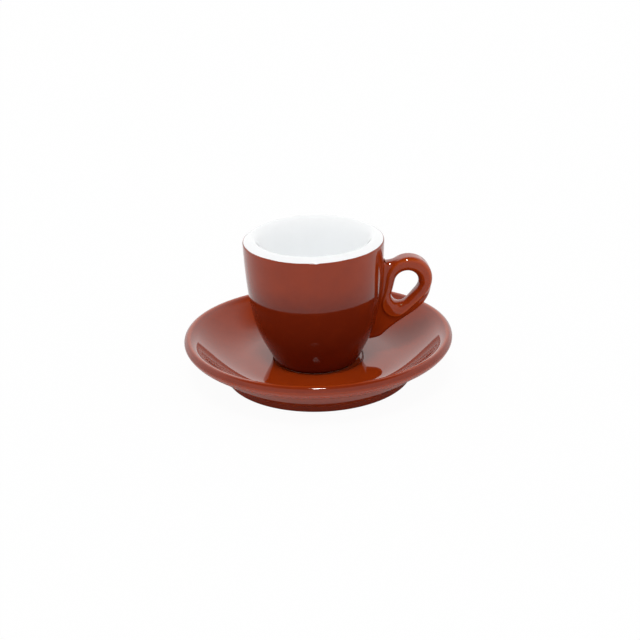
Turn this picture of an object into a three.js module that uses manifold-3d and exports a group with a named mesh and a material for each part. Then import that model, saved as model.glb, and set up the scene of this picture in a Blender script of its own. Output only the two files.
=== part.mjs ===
// Espresso cup and saucer in glazed stoneware: a thick-walled cup, white inside and brown outside, with a
// ring handle, standing in the seat of its brown saucer.
// Millimetres, +Z up. The table is z = 0, the origin is under the middle of the saucer, the handle points
// along +X.

import * as THREE from 'three';
import { mergeVertices } from 'three/addons/utils/BufferGeometryUtils.js';
import Module from 'manifold-3d';

const wasm = await Module();
wasm.setup();

// Saucer
const SAUCER_RADIUS = 60; // outermost edge of the lip
const SAUCER_HEIGHT = 20; // crest of the lip above the table
const LIP_CREST_INSET = 2; // how far the crest stands in from the outermost edge
const LIP_EDGE_DROP = 2.25; // from the crest down to the outermost edge
const LIP_DEPTH = 7; // from the crest down to the lip's lower edge
const LIP_UNDERCUT = 4.4; // how far the lower edge stands in from the outermost edge
const LIP_WIDTH = 6; // from the outermost edge in to the top of the inner slope
const LIP_INNER_DROP = 2.3; // from the crest down to the top of the inner slope
const SLOPE_DEGREES = 45; // steepness of the inner slope at its top
const WELL_FULLNESS = 0.7; // how far the well fills the corner between its slope and its floor
const FLOOR_RADIUS = 32; // where the floor starts to curve up
const FLOOR_HEIGHT = 7.6; // floor above the table
const FLANK_HEIGHT = 3.4; // lower edge of the sloping flank above the table
const FLANK_STEP = 1.2; // how far that edge stands out from the ring that the saucer stands on
const FLANK_CORNER = 0.2; // how far the corner under the flank lies below that edge
const STANDING_RADIUS = 42; // outer edge of the ring that the saucer stands on
const STANDING_WIDTH = 4.6; // width of that ring
const STANDING_HEIGHT = 2.4; // hollow under the saucer, inside the ring
const STANDING_ROUND = 0.7; // rounding of that ring's edges
const SEAT_DEPTH = 0.7; // recess in the floor that keeps the cup in the middle
const SEAT_EDGE = 0.8; // width of the recess's soft edge
const SEAT_CLEARANCE = 1.2; // play between the cup's foot and the edge of the recess

// Cup
const CUP_HEIGHT = 58.35; // from the foot to the top of the rim
const CUP_RADIUS = 31; // outside of the wall at the rim
const BASE_RADIUS = 19.4; // outside of the wall at its lower end
const BASE_HEIGHT = 1.45; // lower end of the wall above the foot
const BELLY_BASE_PULL = new THREE.Vector2(4.5, 11.2); // pull of the wall's curve at its lower end
const BELLY_RIM_PULL = new THREE.Vector2(1.2, 42.65); // pull of the wall's curve at the rim
const FOOT_RADIUS = 18.5; // outside of the foot ring
const FOOT_WIDTH = 2.8; // width of the foot ring
const FOOT_HOLLOW = 1.1; // hollow under the cup, inside the foot ring
const RIM_WIDTH = 8.6; // from the outside of the wall to the bowl's mouth
const RIM_CREST_INSET = 3.8; // how far the top of the rim stands in from the outside
const RIM_FULLNESS = 0.2; // how far the rim fills the corner between the wall and its top
const RIM_DROP = 13; // height over which the rim narrows to the mouth
const BOWL_DEPTH = 50.95; // from the rim to the lowest point inside
const BOWL_FULLNESS = 0.78; // how far the inside fills the corner between its wall and its floor
const GLAZE_LINE = 1.9; // upper edge of the brown coat below the top of the rim
const GLAZE_THICKNESS = 0.5; // brown coat on the outside of the wall

// Handle, in the plane y = 0. Out is measured from the outside of the cup's rim, drop from the rim's top.
const HANDLE_THICKNESS = 9.6; // ring, across its plane
const WEB_THICKNESS = 7; // shoulder and tail, across their plane
const OUTER_ROUND = 2; // rounding of the ring's outside, in its plane
const OUTER_DEPTH = 3.6; // rounding of the ring's outside, across its plane
const INNER_ROUND = 3.2; // rounding of the ring round the finger hole, in its plane
const INNER_DEPTH = 3.4; // rounding of the ring round the finger hole, across its plane
const WEB_EDGE_ROUND = 1.8; // rounding of the shoulder's and the tail's edges, in their plane
const WEB_EDGE_DEPTH = 3; // rounding of the shoulder's and the tail's edges, across their plane
const HOLE_OUT = 9.9; // middle of the finger hole's round upper end
const HOLE_DROP = 23.6;
const HOLE_RADIUS = 5.35; // finger hole's round upper end
const CHIN_OUT = 6.75; // middle of the finger hole's narrow lower end
const CHIN_DROP = 29.35;
const CHIN_RADIUS = 3.7; // finger hole's narrow lower end
const RING_OUT = 10.75; // middle of the round upper end of the ring's outside
const RING_DROP = 21.95;
const RING_RADIUS = 10.4; // round upper end of the ring's outside
const HEEL_OUT = 4.5; // middle of the narrow lower end of the ring's outside
const HEEL_DROP = 33.15;
const HEEL_RADIUS = 6.2; // narrow lower end of the ring's outside
const BLANK_MARGIN = 5; // how far the blank in which the finger hole is made stands over the ring
const FINGER_MARGIN = 2.5; // how far the shoulder and the tail keep clear of the finger hole
const SHOULDER_DROP = 13.6; // upper edge of the handle where it leaves the wall
const SHOULDER_PULL = 3.8; // pull of the curve from the wall to the top of the ring
const WEB_SETBACK = 0.1; // how far inside the ring's outside the shoulder and the tail start
const TAIL_HEIGHT = 8.35; // lower edge of the tail at the wall, above the cup's foot
const TAIL_OUT = 5.2; // where the tail's lower edge would meet that height, out from the wall
const TAIL_DEGREES = 44; // angle at which the tail's lower edge leaves its tip
const TAIL_FILLET = 3; // length of the tail's lower edge that curves into the wall
const TAIL_TIP_PULL = 15.6; // pull of the tail's lower edge at its tip
const TAIL_RING_PULL = 16; // pull of the tail's lower edge at the ring
const ROOT_DEPTH = 6; // how deep the handle's outline runs into the wall, which then cuts it

// Clearances
const COAT_GAP = 0.05; // between the coat and the wall it covers
const REST_GAP = 0.05; // between the cup's foot and the saucer
const SEAT_GAP = 0.3; // between the cup's foot and the edge of the recess on the side where they are closest
const ROOT_GAP = 0.3; // between the handle's root and the coat

// Curves
const ROUND = 0.5523; // pull of a curve towards its corner that makes a quarter of an ellipse
const TURN_SEGMENTS = 48; // around each turned piece
const CURVE_POINTS = 5; // along each curve of a turned profile
const WALL_POINTS = 12; // along the cup's wall
const OUTLINE_POINTS = 9; // along each curve of the handle's outline
const EDGE_STEPS = 4; // across each rounded edge of the handle

// The cup stands pushed away from its handle, up to the edge of the recess.
const CUP_SHIFT = SEAT_CLEARANCE - SEAT_GAP;
const CUP_BOTTOM = FLOOR_HEIGHT - SEAT_DEPTH + REST_GAP;

const brownGlaze = (name) =>
  new THREE.MeshStandardMaterial({ name, color: '#7d210b', roughness: 0.08, metalness: 0 });
const whiteGlaze = (name) =>
  new THREE.MeshStandardMaterial({ name, color: '#f3f5f5', roughness: 0.1, metalness: 0 });

/** Turns a closed profile of (radius, height) points round the Z axis. */
function turn(profile) {
  return new THREE.LatheGeometry(profile, TURN_SEGMENTS).rotateX(Math.PI / 2);
}

/** Makes a manifold solid of a closed three.js geometry. */
function toSolid(geometry) {
  const bare = geometry.clone();
  bare.deleteAttribute('normal');
  bare.deleteAttribute('uv');
  const merged = mergeVertices(bare, 1e-4);
  const vertProperties = new Float32Array(merged.attributes.position.array);
  const triVerts = new Uint32Array(merged.index.array);
  const mesh = new wasm.Mesh({ numProp: 3, vertProperties, triVerts });
  mesh.merge();
  return new wasm.Manifold(mesh);
}

/** Makes a three.js geometry of a manifold solid. */
function toGeometry(solid) {
  const { vertProperties, triVerts } = solid.getMesh();
  const geometry = new THREE.BufferGeometry();
  geometry.setAttribute('position', new THREE.BufferAttribute(vertProperties, 3));
  geometry.setIndex(new THREE.BufferAttribute(triVerts, 1));
  geometry.computeVertexNormals();
  return geometry;
}

/** Adds a curve to a path that turns at a corner, as a quarter of an ellipse does, and ends at a point. */
function bend(path, cornerX, cornerY, endX, endY, pull = ROUND) {
  const start = path.currentPoint;
  path.bezierCurveTo(
    start.x + pull * (cornerX - start.x), start.y + pull * (cornerY - start.y),
    endX + pull * (cornerX - endX), endY + pull * (cornerY - endY),
    endX, endY,
  );
}

/** Outline of the saucer's section, from the middle of its underside round the lip to its seat. */
function saucerProfile() {
  const standingInner = STANDING_RADIUS - STANDING_WIDTH;
  const lipLower = SAUCER_HEIGHT - LIP_DEPTH;
  const lipEdge = SAUCER_HEIGHT - LIP_EDGE_DROP;
  const slopeTop = SAUCER_HEIGHT - LIP_INNER_DROP;
  const slopeRadius = SAUCER_RADIUS - LIP_WIDTH;
  const slope = Math.tan(THREE.MathUtils.degToRad(SLOPE_DEGREES));
  const lipCorner = slopeRadius + LIP_INNER_DROP / slope;
  const floorCorner = slopeRadius - (slopeTop - FLOOR_HEIGHT) / slope;
  const seatRadius = FOOT_RADIUS + SEAT_CLEARANCE;
  const seatHeight = FLOOR_HEIGHT - SEAT_DEPTH;
  const path = new THREE.Path();
  path.moveTo(0, STANDING_HEIGHT);
  path.lineTo(standingInner, STANDING_HEIGHT);
  path.lineTo(standingInner, STANDING_ROUND);
  bend(path, standingInner, 0, standingInner + STANDING_ROUND, 0);
  path.lineTo(STANDING_RADIUS - STANDING_ROUND, 0);
  bend(path, STANDING_RADIUS, 0, STANDING_RADIUS, STANDING_ROUND);
  path.lineTo(STANDING_RADIUS, FLANK_HEIGHT - FLANK_STEP);
  bend(path, STANDING_RADIUS, FLANK_HEIGHT - FLANK_CORNER, STANDING_RADIUS + FLANK_STEP, FLANK_HEIGHT);
  path.lineTo(SAUCER_RADIUS - LIP_UNDERCUT, lipLower);
  bend(path, SAUCER_RADIUS, (lipLower + lipEdge) / 2, SAUCER_RADIUS, lipEdge);
  bend(path, SAUCER_RADIUS, SAUCER_HEIGHT, SAUCER_RADIUS - LIP_CREST_INSET, SAUCER_HEIGHT);
  bend(path, lipCorner, SAUCER_HEIGHT, slopeRadius, slopeTop);
  bend(path, floorCorner, FLOOR_HEIGHT, FLOOR_RADIUS, FLOOR_HEIGHT, WELL_FULLNESS);
  path.lineTo(seatRadius + SEAT_EDGE, FLOOR_HEIGHT);
  path.lineTo(seatRadius, seatHeight);
  path.lineTo(0, seatHeight);
  return path.getPoints(CURVE_POINTS);
}

/** Outside of the cup's wall from its lower end to the glaze line, moved outwards by an offset. */
function wallPoints(offset) {
  const top = CUP_HEIGHT - GLAZE_LINE;
  const curve = new THREE.CubicBezierCurve(
    new THREE.Vector2(BASE_RADIUS, BASE_HEIGHT),
    new THREE.Vector2(BASE_RADIUS + BELLY_BASE_PULL.x, BASE_HEIGHT + BELLY_BASE_PULL.y),
    new THREE.Vector2(CUP_RADIUS - BELLY_RIM_PULL.x, top - BELLY_RIM_PULL.y),
    new THREE.Vector2(CUP_RADIUS, top),
  );
  return curve.getPoints(WALL_POINTS).map((point) => new THREE.Vector2(point.x + offset, point.y));
}

/** Radius of the outside of the wall at a height above the cup's foot. */
function wallRadius(height) {
  const points = wallPoints(0);
  const upper = Math.max(1, points.findIndex((point) => point.y >= height));
  const [low, high] = [points[upper - 1], points[upper]];
  return low.x + ((high.x - low.x) * (height - low.y)) / (high.y - low.y);
}

/** Outline of the bowl's section: foot ring, wall under the coat, rim and inside. */
function bowlProfile() {
  const bedding = GLAZE_THICKNESS + COAT_GAP;
  const mouth = CUP_RADIUS - RIM_WIDTH;
  const floor = CUP_HEIGHT - BOWL_DEPTH;
  const foot = new THREE.Path();
  foot.moveTo(0, FOOT_HOLLOW);
  foot.lineTo(FOOT_RADIUS - FOOT_WIDTH, FOOT_HOLLOW);
  foot.lineTo(FOOT_RADIUS - FOOT_WIDTH, 0);
  foot.lineTo(FOOT_RADIUS, 0);
  foot.lineTo(FOOT_RADIUS, BASE_HEIGHT);
  const inside = new THREE.Path();
  inside.moveTo(CUP_RADIUS, CUP_HEIGHT - GLAZE_LINE);
  bend(inside, CUP_RADIUS, CUP_HEIGHT, CUP_RADIUS - RIM_CREST_INSET, CUP_HEIGHT, RIM_FULLNESS);
  bend(inside, mouth, CUP_HEIGHT, mouth, CUP_HEIGHT - RIM_DROP);
  bend(inside, mouth, floor, 0, floor, BOWL_FULLNESS);
  return [...foot.getPoints(), ...wallPoints(-bedding), ...inside.getPoints(CURVE_POINTS)];
}

/** Outline of the brown coat's section: up its outside and down its inside. */
function coatProfile() {
  const outside = wallPoints(0);
  const inside = wallPoints(-GLAZE_THICKNESS).reverse();
  return [...outside, ...inside, outside[0].clone()];
}

/** Place in the handle's plane, from its distance outside the rim and its drop below the top of the rim. */
function handlePoint(out, drop) {
  return new THREE.Vector2(CUP_RADIUS + out, CUP_HEIGHT - drop);
}

/** Two circles, a round upper end and a narrow lower end, and the angles at which straight sides touch them. */
class Egg {
  constructor(top, topRadius, chin, chinRadius) {
    Object.assign(this, { top, topRadius, chin, chinRadius });
    const axis = top.clone().sub(chin);
    const spread = Math.PI - Math.acos((topRadius - chinRadius) / axis.length());
    this.right = axis.angle() - spread;
    this.left = axis.angle() + spread;
  }

  /** Adds the egg's outline, moved outwards, to a path. */
  addTo(path, grow = 0) {
    path.absarc(this.top.x, this.top.y, this.topRadius + grow, this.right, this.left);
    path.absarc(this.chin.x, this.chin.y, this.chinRadius + grow, this.left, this.right + 2 * Math.PI);
    path.closePath();
    return path;
  }
}

const fingerHole = new Egg(
  handlePoint(HOLE_OUT, HOLE_DROP), HOLE_RADIUS, handlePoint(CHIN_OUT, CHIN_DROP), CHIN_RADIUS,
);
const ringOutside = new Egg(
  handlePoint(RING_OUT, RING_DROP), RING_RADIUS, handlePoint(HEEL_OUT, HEEL_DROP), HEEL_RADIUS,
);

/** Outline of the web that joins the ring to the wall: the shoulder above the ring and the tail below it. */
function webShape() {
  const { top } = ringOutside;
  const reach = RING_RADIUS - WEB_SETBACK;
  const crest = top.y + reach;
  const outer = top.x + reach;
  const shoulder = CUP_HEIGHT - SHOULDER_DROP;
  const wall = wallRadius(TAIL_HEIGHT);
  const angle = THREE.MathUtils.degToRad(TAIL_DEGREES);
  const climb = new THREE.Vector2(Math.cos(angle), Math.sin(angle));
  const corner = new THREE.Vector2(wall + TAIL_OUT, TAIL_HEIGHT);
  const tip = corner.clone().addScaledVector(climb, TAIL_FILLET);
  const pull = tip.clone().addScaledVector(climb, TAIL_TIP_PULL);
  const shape = new THREE.Shape();
  shape.moveTo(CUP_RADIUS - ROOT_DEPTH, shoulder);
  shape.lineTo(CUP_RADIUS, shoulder);
  shape.bezierCurveTo(CUP_RADIUS + SHOULDER_PULL, shoulder, top.x - SHOULDER_PULL, crest, top.x, crest);
  shape.absarc(top.x, top.y, reach, Math.PI / 2, 0, true);
  shape.bezierCurveTo(outer, top.y - TAIL_RING_PULL, pull.x, pull.y, tip.x, tip.y);
  shape.quadraticCurveTo(corner.x, corner.y, wall, TAIL_HEIGHT);
  shape.lineTo(wall - ROOT_DEPTH, TAIL_HEIGHT);
  shape.closePath();
  return shape;
}

/** Plate of an outline in the handle's plane, with its edges rounded. */
function plate(shape, thickness, edgeRound, edgeDepth) {
  const depth = thickness - 2 * edgeDepth;
  const geometry = new THREE.ExtrudeGeometry(shape, {
    depth,
    curveSegments: OUTLINE_POINTS,
    bevelEnabled: edgeDepth > 0,
    bevelThickness: edgeDepth,
    bevelSize: edgeRound,
    bevelOffset: -edgeRound,
    bevelSegments: EDGE_STEPS,
  });
  return toSolid(geometry.translate(0, 0, -depth / 2).rotateX(Math.PI / 2));
}

/** Ring round the finger hole, with a tight rounding outside and a broad one round the hole. */
function ringSolid() {
  const outside = plate(ringOutside.addTo(new THREE.Shape()), HANDLE_THICKNESS, OUTER_ROUND, OUTER_DEPTH);
  const blank = ringOutside.addTo(new THREE.Shape(), BLANK_MARGIN);
  blank.holes.push(fingerHole.addTo(new THREE.Path()));
  return outside.intersect(plate(blank, HANDLE_THICKNESS, INNER_ROUND, INNER_DEPTH));
}

/** Ring and web in one, cut to the outside of the cup's coat. */
function handleGeometry() {
  const web = plate(webShape(), WEB_THICKNESS, WEB_EDGE_ROUND, WEB_EDGE_DEPTH);
  const fingerRoom = plate(fingerHole.addTo(new THREE.Shape(), FINGER_MARGIN), 2 * HANDLE_THICKNESS, 0, 0);
  const wall = wallPoints(ROOT_GAP);
  const bottom = new THREE.Vector2(0, wall[0].y);
  const top = new THREE.Vector2(0, wall.at(-1).y);
  const cup = toSolid(turn([bottom, ...wall, top]));
  return toGeometry(ringSolid().add(web.subtract(fingerRoom)).subtract(cup));
}

/** One named piece of the object. */
function piece(name, geometry, material) {
  const mesh = new THREE.Mesh(geometry, material);
  mesh.name = name;
  return mesh;
}

const cup = new THREE.Group();
cup.position.set(-CUP_SHIFT, 0, CUP_BOTTOM);
cup.add(
  piece('cup_bowl', turn(bowlProfile()), whiteGlaze('white glaze')),
  piece('cup_outer_glaze', turn(coatProfile()), brownGlaze('brown glaze on the cup')),
  piece('cup_handle', handleGeometry(), brownGlaze('brown glaze on the handle')),
);

const cupAndSaucer = new THREE.Group();
cupAndSaucer.add(piece('saucer', turn(saucerProfile()), brownGlaze('brown glaze on the saucer')), cup);

export default cupAndSaucer;
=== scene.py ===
"""Espresso cup and saucer in glazed stoneware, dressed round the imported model.

The saucer and the cup are turned surfaces, the handle is a ring with a thinner web behind it. Sizes are in
millimetres and become metres when a mesh is made. The table is z = 0, the handle points along +X.
"""

import logging
import math
from dataclasses import dataclass
from enum import Enum

import bpy
import numpy as np
from mathutils import Matrix, Vector


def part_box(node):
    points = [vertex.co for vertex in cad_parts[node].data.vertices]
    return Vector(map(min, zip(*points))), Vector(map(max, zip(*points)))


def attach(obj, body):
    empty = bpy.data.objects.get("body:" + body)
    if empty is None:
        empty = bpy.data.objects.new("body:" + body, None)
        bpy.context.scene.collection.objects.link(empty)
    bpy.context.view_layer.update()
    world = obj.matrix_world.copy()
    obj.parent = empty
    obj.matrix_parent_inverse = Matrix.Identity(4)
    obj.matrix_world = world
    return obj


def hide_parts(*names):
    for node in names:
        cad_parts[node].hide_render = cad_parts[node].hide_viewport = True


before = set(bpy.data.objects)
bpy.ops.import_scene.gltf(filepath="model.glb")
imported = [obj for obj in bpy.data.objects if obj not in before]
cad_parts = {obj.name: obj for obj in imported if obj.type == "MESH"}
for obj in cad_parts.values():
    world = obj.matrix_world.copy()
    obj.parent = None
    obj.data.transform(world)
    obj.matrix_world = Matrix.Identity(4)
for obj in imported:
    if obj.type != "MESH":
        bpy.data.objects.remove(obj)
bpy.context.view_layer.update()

log = logging.getLogger("cup_and_saucer")

MM = 0.001
ROUND = 0.5523  # pull of a curve towards its corner that makes a quarter of an ellipse
FAR = 100.0  # further than any place on the object
NEARLY = 1e-6  # slack in a comparison of two distances
EDGE_FALL = 4.0  # how steeply a half thickness falls beyond its rounded edge
LIGHT_BOUNCES = 24  # the white bowl hands light on many times before it dims
# glaze thinness at each vertex, with painted light and painted highlight lines added in
THINNESS_AND_PAINTED_LIGHT = "glaze_thinness_and_painted_light"

Array = np.ndarray
Point = tuple[float, float]


class Body(Enum):
    """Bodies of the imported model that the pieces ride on."""

    SAUCER = "saucer"
    CUP = "cup"


class Slot(Enum):
    """Material slots of the record."""

    BROWN_GLAZE = "brown_glaze"
    WHITE_GLAZE = "white_glaze"


def linear(hex_colour: str) -> tuple[float, float, float, float]:
    """Turns an sRGB hex colour into linear RGBA.

    Args:
        hex_colour: six hex digits.

    Returns:
        Red, green, blue and an alpha of 1.
    """
    srgb = np.array([int(hex_colour[i:i + 2], 16) for i in (0, 2, 4)]) / 255.0
    value = np.where(srgb <= 0.04045, srgb / 12.92, ((srgb + 0.055) / 1.055) ** 2.4)
    return (*value.tolist(), 1.0)


def add_node(tree: bpy.types.NodeTree, kind: str, inputs: dict | None = None, **settings) -> bpy.types.Node:
    """Adds a node with its settings, values and links.

    Args:
        tree: node tree that gets the node.
        kind: type name of the node.
        inputs: for an input's name or number, a value to set or a socket to link.
        settings: properties of the node.

    Returns:
        The new node.
    """
    node = tree.nodes.new(kind)
    for name, value in settings.items():
        setattr(node, name, value)
    for name, value in (inputs or {}).items():
        if isinstance(value, bpy.types.NodeSocket):
            tree.links.new(value, node.inputs[name])
        else:
            node.inputs[name].default_value = value
    return node


def smoothstep(low: float, high: float, value: Array) -> Array:
    """Rises from 0 at low to 1 at high as 3t^2 - 2t^3."""
    t = np.clip((value - low) / (high - low), 0.0, 1.0)
    return t * t * (3.0 - 2.0 * t)


def smooth_max(first: Array, second: Array, width: float) -> Array:
    """Larger of two fields, its crease rounded over a width: (a + b + sqrt((a - b)^2 + width^2)) / 2."""
    return 0.5 * (first + second + np.sqrt((first - second) ** 2 + width ** 2))


class Profile:
    """Section of a turned piece: points (radius, height) laid one curve after another."""

    def __init__(self, start: Point) -> None:
        """Starts the section at a point."""
        self.parts: list[Array] = [np.array([start], float)]

    @property
    def end(self) -> Array:
        """Last point laid so far."""
        return self.parts[-1][-1]

    def line(self, end: Point, steps: int = 1) -> "Profile":
        """Adds a straight line: start + t (end - start)."""
        t = np.linspace(0.0, 1.0, steps + 1)[1:, None]
        self.parts.append(self.end + t * (np.array(end, float) - self.end))
        return self

    def curve(self, pull_start: Point, pull_end: Point, end: Point, steps: int) -> "Profile":
        """Adds a cubic Bezier curve with the two pulls as its inner control points.

        Args:
            pull_start: control point near the start.
            pull_end: control point near the end.
            end: last point of the curve.
            steps: number of points along it.

        Returns:
            The section itself.
        """
        t = np.linspace(0.0, 1.0, steps + 1)[1:, None]
        first, second, last = np.array(pull_start), np.array(pull_end), np.array(end)
        near = (1 - t) ** 3 * self.end + 3 * (1 - t) ** 2 * t * first
        far = 3 * (1 - t) * t ** 2 * second + t ** 3 * last
        self.parts.append(near + far)
        return self

    def bend(self, corner: Point, end: Point, steps: int, pull: float = ROUND) -> "Profile":
        """Adds a curve that turns at a corner, as a quarter of an ellipse does.

        Args:
            corner: where the tangents at both ends of the curve meet.
            end: last point of the curve.
            steps: number of points along it.
            pull: how far the control points lie towards the corner.

        Returns:
            The section itself.
        """
        turn = np.array(corner, float)
        last = np.array(end, float)
        return self.curve(self.end + pull * (turn - self.end), last + pull * (turn - last), end, steps)

    def points(self) -> Array:
        """All points in order."""
        return np.vstack(self.parts)


def turned(profile: Array, segments: int, axis_x: float = 0.0) -> Array:
    """Turns a section round a vertical axis: x = axis + r cos t, y = r sin t, z = height.

    Args:
        profile: points (radius, height).
        segments: number of points round the axis.
        axis_x: where the axis stands.

    Returns:
        Grid of points, a row for each point of the section and a column for each turn.
    """
    angle = np.linspace(0.0, 2.0 * np.pi, segments, endpoint=False)
    radius = profile[:, 0, None]
    height = np.broadcast_to(profile[:, 1, None], (len(profile), segments))
    return np.stack([axis_x + radius * np.cos(angle), radius * np.sin(angle), height], axis=-1)


def grid_faces(index: Array) -> Array:
    """Joins each row of vertex numbers to the next, round closed rows, into faces of four.

    Args:
        index: grid of vertex numbers.

    Returns:
        Four vertex numbers for each face.
    """
    low, high = index[:-1], index[1:]
    quads = np.stack([low, np.roll(low, -1, axis=1), np.roll(high, -1, axis=1), high], axis=-1)
    return quads.reshape(-1, 4)


def mesh_piece(name: str, points: Array, faces: list, thin: Array) -> bpy.types.Object:
    """Makes an object of points and faces.

    Args:
        name: name of the piece.
        points: vertices in millimetres.
        faces: lists of vertex numbers.
        thin: how thin the glaze lies at each vertex, with painted light and painted highlight lines added in,
            from 0 to 1.

    Returns:
        The object, smooth shaded, at the origin.
    """
    mesh = bpy.data.meshes.new(name)
    mesh.from_pydata((points * MM).tolist(), [], faces)
    mesh.shade_smooth()
    attribute = mesh.attributes.new(THINNESS_AND_PAINTED_LIGHT, "FLOAT", "POINT")
    attribute.data.foreach_set("value", thin.astype(np.float32))
    piece = bpy.data.objects.new(name, mesh)
    bpy.context.scene.collection.objects.link(piece)
    return piece


def capped_piece(name: str, grid: Array, thin: Array) -> bpy.types.Object:
    """Makes a turned piece whose first and last rows each shrink to one point on the axis.

    Args:
        name: name of the piece.
        grid: rows of points from the middle of the underside to the middle of the top.
        thin: thinness of the glaze on each row, with painted highlight lines added in.

    Returns:
        The object.
    """
    rows, columns = grid.shape[0] - 2, grid.shape[1]
    points = np.vstack([grid[0, :1], grid[1:-1].reshape(-1, 3), grid[-1, :1]])
    index = 1 + np.arange(rows * columns).reshape(rows, columns)
    first, last = index[0], index[-1]
    under = np.stack([np.zeros_like(first), np.roll(first, -1), first], axis=-1)
    over = np.stack([np.full_like(last, len(points) - 1), last, np.roll(last, -1)], axis=-1)
    faces = grid_faces(index).tolist() + under.tolist() + over.tolist()
    thickness = np.concatenate([thin[:1], np.repeat(thin[1:-1], columns), thin[-1:]])
    return mesh_piece(name, points, faces, thickness)


def looped_piece(name: str, grid: Array, thin: Array) -> bpy.types.Object:
    """Makes a piece whose rows close into a ring as its columns do.

    Args:
        name: name of the piece.
        grid: rows of points; the last row joins the first.
        thin: thinness of the glaze at each point of the grid, with painted light and painted highlight lines
            added in.

    Returns:
        The object.
    """
    rows, columns = grid.shape[:2]
    index = np.arange(rows * columns).reshape(rows, columns)
    faces = grid_faces(np.vstack([index, index[:1]])).tolist()
    return mesh_piece(name, grid.reshape(-1, 3), faces, thin.ravel())


def place(piece: bpy.types.Object, body: Body, node: str) -> None:
    """Sets a piece on its body and the node that it stands for.

    Args:
        piece: the piece.
        body: body that it rides on.
        node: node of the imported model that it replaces.
    """
    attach(piece, body.value)
    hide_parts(node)
    log.info("%s: %d faces, rides on %s", piece.name, len(piece.data.polygons), body.value)


@dataclass(frozen=True)
class BrownGlaze:
    """Iron-red glaze fired on stoneware, glossy and a little uneven.

    It is dark where it pools, red-brown where it lies even, and orange where it runs thin over an edge; the
    same tones also carry painted light and painted highlight lines.
    """

    name: str = "iron_glaze_on_stoneware"
    pooled: str = "6e210d"
    even: str = "a4390c"
    even_at: float = 0.4
    broken: str = "b4601c"
    speck: str = "2c0a04"
    ior: float = 1.43
    roughness: float = 0.03
    roughness_spread: float = 0.02
    mottle_mm: float = 9.0
    mottle_detail: float = 4.0
    mottle_roughness: float = 0.6
    mottle_span: Point = (0.3, 0.7)
    mottle_share: float = 0.035
    ripple_mm: float = 7.0
    ripple_detail: float = 1.0
    ripple_height_mm: float = 0.01
    speck_mm: float = 0.24
    speck_spacing_mm: float = 12.0
    speck_share: float = 0.45
    speck_strength: float = 0.75

    def material(self) -> bpy.types.Material:
        """Makes a glossy coat whose colour follows the glaze's thickness, with mottling and iron specks.

        Returns:
            The material.
        """
        material = bpy.data.materials.new(self.name)
        material.use_nodes = True
        tree = material.node_tree
        where = add_node(tree, "ShaderNodeTexCoord").outputs["Object"]
        mottle = add_node(
            tree, "ShaderNodeTexNoise",
            {
                "Vector": where, "Scale": 1.0 / (self.mottle_mm * MM), "Detail": self.mottle_detail,
                "Roughness": self.mottle_roughness,
            },
        ).outputs[0]
        base = self.specked(tree, where, self.tinted(tree, mottle))
        ripple = add_node(
            tree, "ShaderNodeTexNoise",
            {"Vector": where, "Scale": 1.0 / (self.ripple_mm * MM), "Detail": self.ripple_detail},
        ).outputs[0]
        bump = add_node(
            tree, "ShaderNodeBump", {"Height": ripple, "Distance": self.ripple_height_mm * MM},
        ).outputs[0]
        gloss = add_node(
            tree, "ShaderNodeMapRange",
            {"Value": mottle, 3: self.roughness, 4: self.roughness + self.roughness_spread},
        ).outputs[0]
        shader = tree.nodes["Principled BSDF"]
        shader.inputs["IOR"].default_value = self.ior
        tree.links.new(base, shader.inputs["Base Color"])
        tree.links.new(gloss, shader.inputs["Roughness"])
        tree.links.new(bump, shader.inputs["Normal"])
        return material

    def tinted(self, tree: bpy.types.NodeTree, mottle: bpy.types.NodeSocket) -> bpy.types.NodeSocket:
        """Picks the colour from pooled to broken by the glaze's thinness and the painted light in it, which
        the mottling makes uneven.

        Args:
            tree: node tree of the material.
            mottle: mottling pattern.

        Returns:
            The colour.
        """
        # thinness of the glaze, with painted light and painted highlight lines, read from the vertices
        thin = add_node(tree, "ShaderNodeAttribute", attribute_name=THINNESS_AND_PAINTED_LIGHT).outputs["Fac"]
        uneven = add_node(
            tree, "ShaderNodeMapRange",
            {
                "Value": mottle, 1: self.mottle_span[0], 2: self.mottle_span[1],
                3: -self.mottle_share, 4: self.mottle_share,
            },
        ).outputs[0]
        amount = add_node(tree, "ShaderNodeMath", {0: thin, 1: uneven}, operation="ADD", use_clamp=True)
        ramp = add_node(tree, "ShaderNodeValToRGB", {0: amount.outputs[0]})
        tones = ramp.color_ramp.elements
        tones[0].color = linear(self.pooled)
        tones[1].color = linear(self.broken)
        tones.new(self.even_at).color = linear(self.even)
        return ramp.outputs[0]

    def specked(
        self, tree: bpy.types.NodeTree, where: bpy.types.NodeSocket, colour: bpy.types.NodeSocket,
    ) -> bpy.types.NodeSocket:
        """Lays iron specks over a colour, one in the middle of some of the cells of a Voronoi pattern.

        Args:
            tree: node tree of the material.
            where: coordinates of the pattern.
            colour: colour of the glaze.

        Returns:
            The colour with specks.
        """
        cells = add_node(
            tree, "ShaderNodeTexVoronoi", {"Vector": where, "Scale": 1.0 / (self.speck_spacing_mm * MM)},
        )
        draw = add_node(tree, "ShaderNodeSeparateColor", {0: cells.outputs["Color"]}).outputs[0]
        chosen = add_node(tree, "ShaderNodeMath", {0: draw, 1: self.speck_share}, operation="LESS_THAN")
        reach = self.speck_mm / self.speck_spacing_mm
        spot = add_node(
            tree, "ShaderNodeMapRange",
            {"Value": cells.outputs["Distance"], 1: 0.5 * reach, 2: reach, 3: self.speck_strength, 4: 0.0},
        )
        speck = add_node(
            tree, "ShaderNodeMath", {0: spot.outputs[0], 1: chosen.outputs[0]}, operation="MULTIPLY",
        )
        return add_node(
            tree, "ShaderNodeMix", {0: speck.outputs[0], 6: colour, 7: linear(self.speck)}, data_type="RGBA",
        ).outputs[2]


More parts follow.
